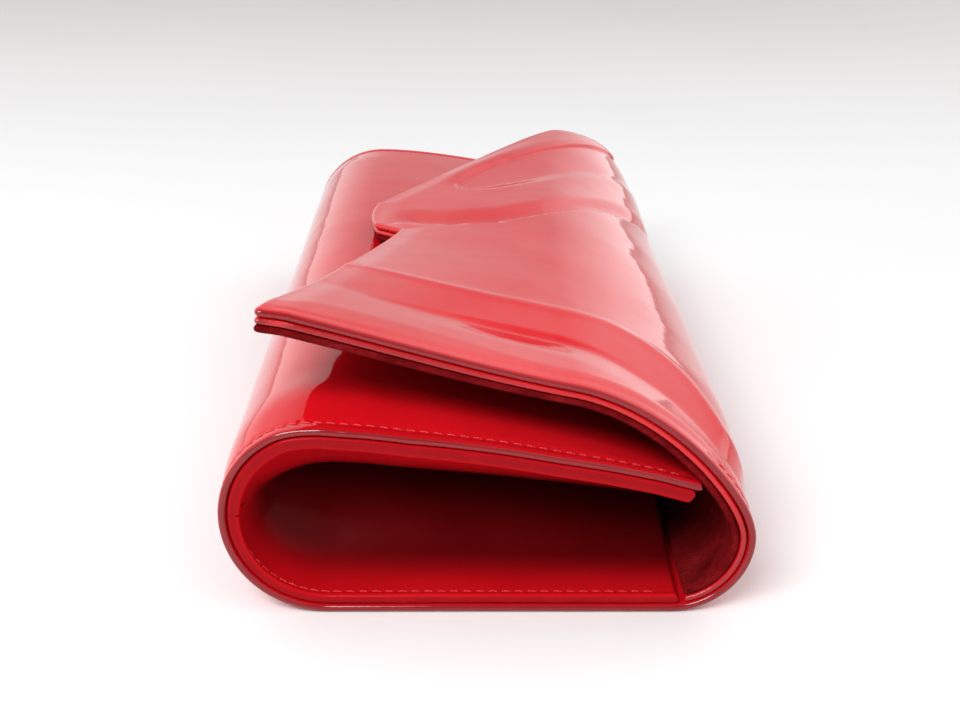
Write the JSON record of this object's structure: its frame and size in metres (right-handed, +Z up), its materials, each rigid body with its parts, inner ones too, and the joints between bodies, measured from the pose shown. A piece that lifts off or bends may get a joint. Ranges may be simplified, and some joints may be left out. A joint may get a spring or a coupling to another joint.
{
  "type": "clutch purse",
  "caption": "Patent-leather clutch purse lying on its back, with a stiff bend, V-fold end gussets and an asymmetric flap that swings open on a soft fold.",
  "frame": {"origin": "centre of the purse's outline on the plane that its back panel rests on", "axes": "+X along the carried width, towards the end where the flap's long lobe is; +Y from the bottom bend to the flap's fold; +Z up out of the front panel, with the purse lying on its back"},
  "size_m": [0.2654, 0.13, 0.0808],
  "materials": {
    "patent": "high-gloss patent lacquer over smooth leather",
    "facing": "satin leather facing with inked edges",
    "suede": "brushed suede with a short nap",
    "lining": "matt woven lining",
    "board": "plain fibreboard",
    "steel": "plain plated steel"
  },
  "bodies": {
    "base": {"back_skin": "patent", "back_board": "board", "back_lining": "lining", "bottom_board_lower": "board", "slip_pocket": "lining", "slip_pocket_binding": "facing", "near_gusset_back_leaf": "patent", "near_gusset_back_lining": "lining", "far_gusset_back_leaf": "patent", "far_gusset_back_lining": "lining"},
    "front": {"front_skin": "patent", "front_board": "board", "front_lining": "lining", "bottom_board_upper": "board", "mouth_facing": "facing", "front_keeper_disc": "steel", "near_gusset_front_leaf": "patent", "near_gusset_front_lining": "lining", "far_gusset_front_leaf": "patent", "far_gusset_front_lining": "lining"},
    "fold_a": {"fold_a_skin": "patent", "fold_a_facing": "facing", "fold_a_lining": "suede"},
    "fold_b": {"fold_b_skin": "patent", "fold_b_facing": "facing", "fold_b_lining": "suede"},
    "fold_c": {"fold_c_skin": "patent", "fold_c_facing": "facing", "fold_c_lining": "suede"},
    "flap": {"flap_skin": "patent", "flap_board": "board", "flap_facing": "facing", "flap_lining": "suede", "flap_magnet": "steel"}
  },
  "joints": [
    {"name": "flap_fold_1", "type": "hinge", "parent": "base", "child": "fold_a", "pos_m": [0, 0.045, 0], "axis": [-1, 0, 0], "range_deg": [0, 16]},
    {"name": "flap_fold_2", "type": "hinge", "parent": "fold_a", "child": "fold_b", "pos_m": [0, 0.06125, 0.00835], "axis": [-1, 0, 0], "range_deg": [0, 48]},
    {"name": "flap_fold_3", "type": "hinge", "parent": "fold_b", "child": "fold_c", "pos_m": [0, 0.06343, 0.02855], "axis": [-1, 0, 0], "range_deg": [0, 48]},
    {"name": "flap_fold_4", "type": "hinge", "parent": "fold_c", "child": "flap", "pos_m": [0, 0.044, 0.0545], "axis": [-1, 0, 0], "range_deg": [0, 48]},
    {"name": "mouth_open", "type": "hinge", "parent": "base", "child": "front", "pos_m": [0, -0.065, 0.0265], "axis": [1, 0, 0], "range_deg": [0, 10]}
  ],
  "couplings": [
    {"joint": "flap_fold_2", "follows": "flap_fold_1", "ratio": 3},
    {"joint": "flap_fold_3", "follows": "flap_fold_1", "ratio": 3},
    {"joint": "flap_fold_4", "follows": "flap_fold_1", "ratio": 3},
    {"joint": "mouth_open", "follows": "flap_fold_1", "ratio": 0.625}
  ]
}
